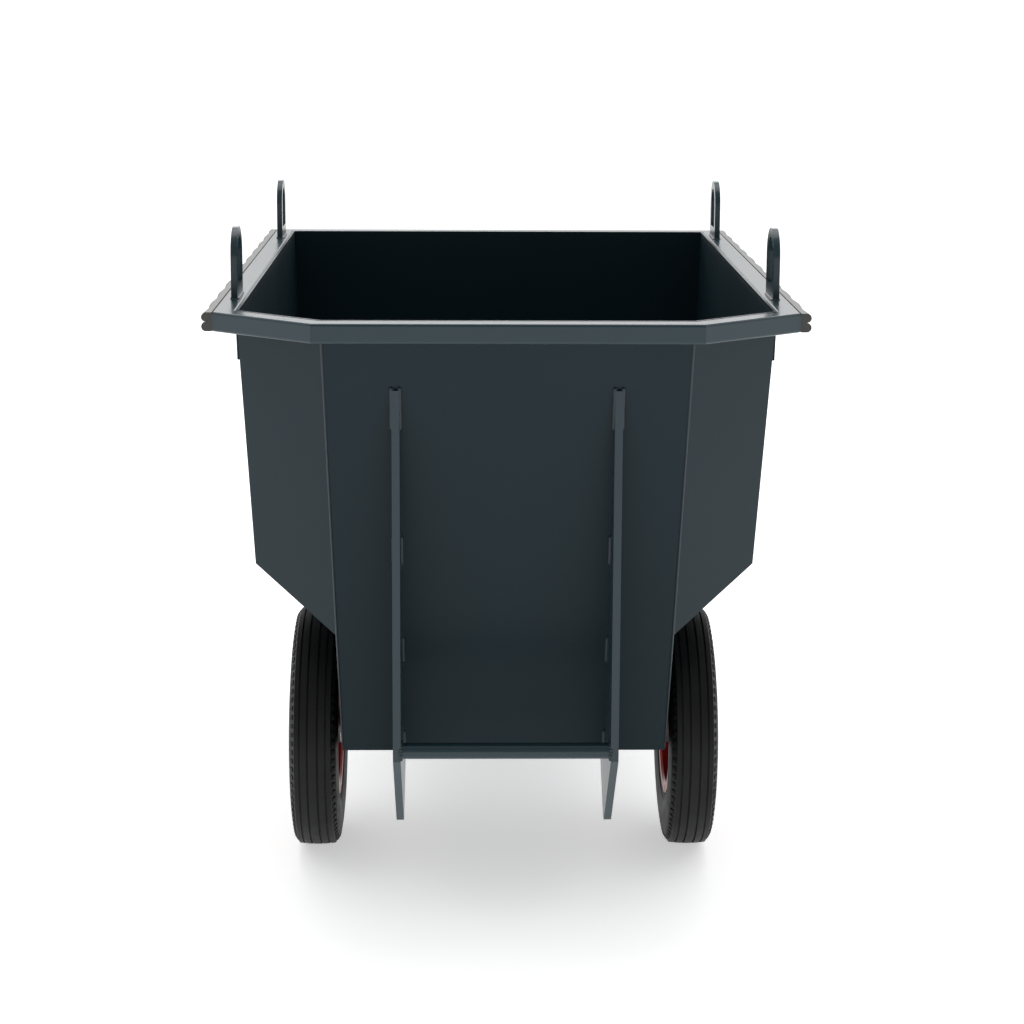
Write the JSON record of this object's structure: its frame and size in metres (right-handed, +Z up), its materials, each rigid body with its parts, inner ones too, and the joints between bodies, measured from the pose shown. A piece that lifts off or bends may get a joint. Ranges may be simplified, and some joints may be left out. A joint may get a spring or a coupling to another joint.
{
  "type": "tow behind cart",
  "caption": "Towed steel tub cart with a raked pouring end, tipping rails, rubber rubbing strips, lifting eyes, solid disc wheels and a pin hitch.",
  "frame": {"origin": "on the ground under the middle of the cart's overall length and width", "axes": "+Z up, -Y towards the raked pouring end, +Y towards the drawbar, +X right when seen from the pouring end"},
  "size_m": [0.926, 1.846, 1.061],
  "materials": {
    "cart_paint": "satin",
    "rim_red": "satin",
    "tyre": "matte",
    "tyre_foam": "matte",
    "strip_rubber": "satin",
    "zinc_steel": "satin",
    "bare_steel": "satin"
  },
  "bodies": {
    "cart": {"axle_bracket_left": "cart_paint", "axle_bracket_right": "cart_paint", "axle_nuts": "zinc_steel", "axle_shaft": "bare_steel", "axle_spacers": "bare_steel", "axle_washers": "zinc_steel", "crossbar": "cart_paint", "drawbar_gusset": "cart_paint", "drawbar_tube": "cart_paint", "foot_plate_left": "cart_paint", "foot_plate_right": "cart_paint", "hitch_plate_lower": "cart_paint", "hitch_plate_upper": "cart_paint", "hitch_rib": "cart_paint", "hitch_riser": "cart_paint", "leg_arm_left": "cart_paint", "leg_arm_right": "cart_paint", "lifting_eye_front_left": "cart_paint", "lifting_eye_front_right": "cart_paint", "lifting_eye_rear_left": "cart_paint", "lifting_eye_rear_right": "cart_paint", "rim_corner_rail_left": "cart_paint", "rim_corner_rail_right": "cart_paint", "rim_front_rail": "cart_paint", "rim_rear_rail": "cart_paint", "rim_side_rail_left": "cart_paint", "rim_side_rail_right": "cart_paint", "rubbing_strip_left": "strip_rubber", "rubbing_strip_right": "strip_rubber", "side_doubler_left": "cart_paint", "side_doubler_right": "cart_paint", "split_pins": "zinc_steel", "stand_leg_left": "cart_paint", "stand_leg_right": "cart_paint", "strip_screws": "zinc_steel", "tipping_rail_left": "cart_paint", "tipping_rail_right": "cart_paint", "tub_corner_panel_left": "cart_paint", "tub_corner_panel_right": "cart_paint", "tub_floor": "cart_paint", "tub_front_wall": "cart_paint", "tub_rear_wall": "cart_paint", "tub_side_left": "cart_paint", "tub_side_right": "cart_paint"},
    "wheel_left": {"rim_bolts_left": "zinc_steel", "tyre_core_left": "tyre_foam", "tyre_left": "tyre", "wheel_bearings_left": "zinc_steel", "wheel_hub_left": "bare_steel", "wheel_rim_inner_left": "rim_red", "wheel_rim_outer_left": "rim_red"},
    "wheel_right": {"rim_bolts_right": "zinc_steel", "tyre_core_right": "tyre_foam", "tyre_right": "tyre", "wheel_bearings_right": "zinc_steel", "wheel_hub_right": "bare_steel", "wheel_rim_inner_right": "rim_red", "wheel_rim_outer_right": "rim_red"},
    "hitch_pin": {"hitch_pin": "zinc_steel"}
  },
  "joints": [
    {"name": "wheel_left_spin", "type": "hinge", "parent": "cart", "child": "wheel_left", "pos_m": [-0.3105, -0.494, 0.2], "axis": [1, 0, 0], "continuous": true},
    {"name": "wheel_right_spin", "type": "hinge", "parent": "cart", "child": "wheel_right", "pos_m": [0.3105, -0.494, 0.2], "axis": [1, 0, 0], "continuous": true},
    {"name": "hitch_pin_lift", "type": "slide", "parent": "cart", "child": "hitch_pin", "axis": [0, 0, 1], "range_m": [0, 0.1]}
  ]
}
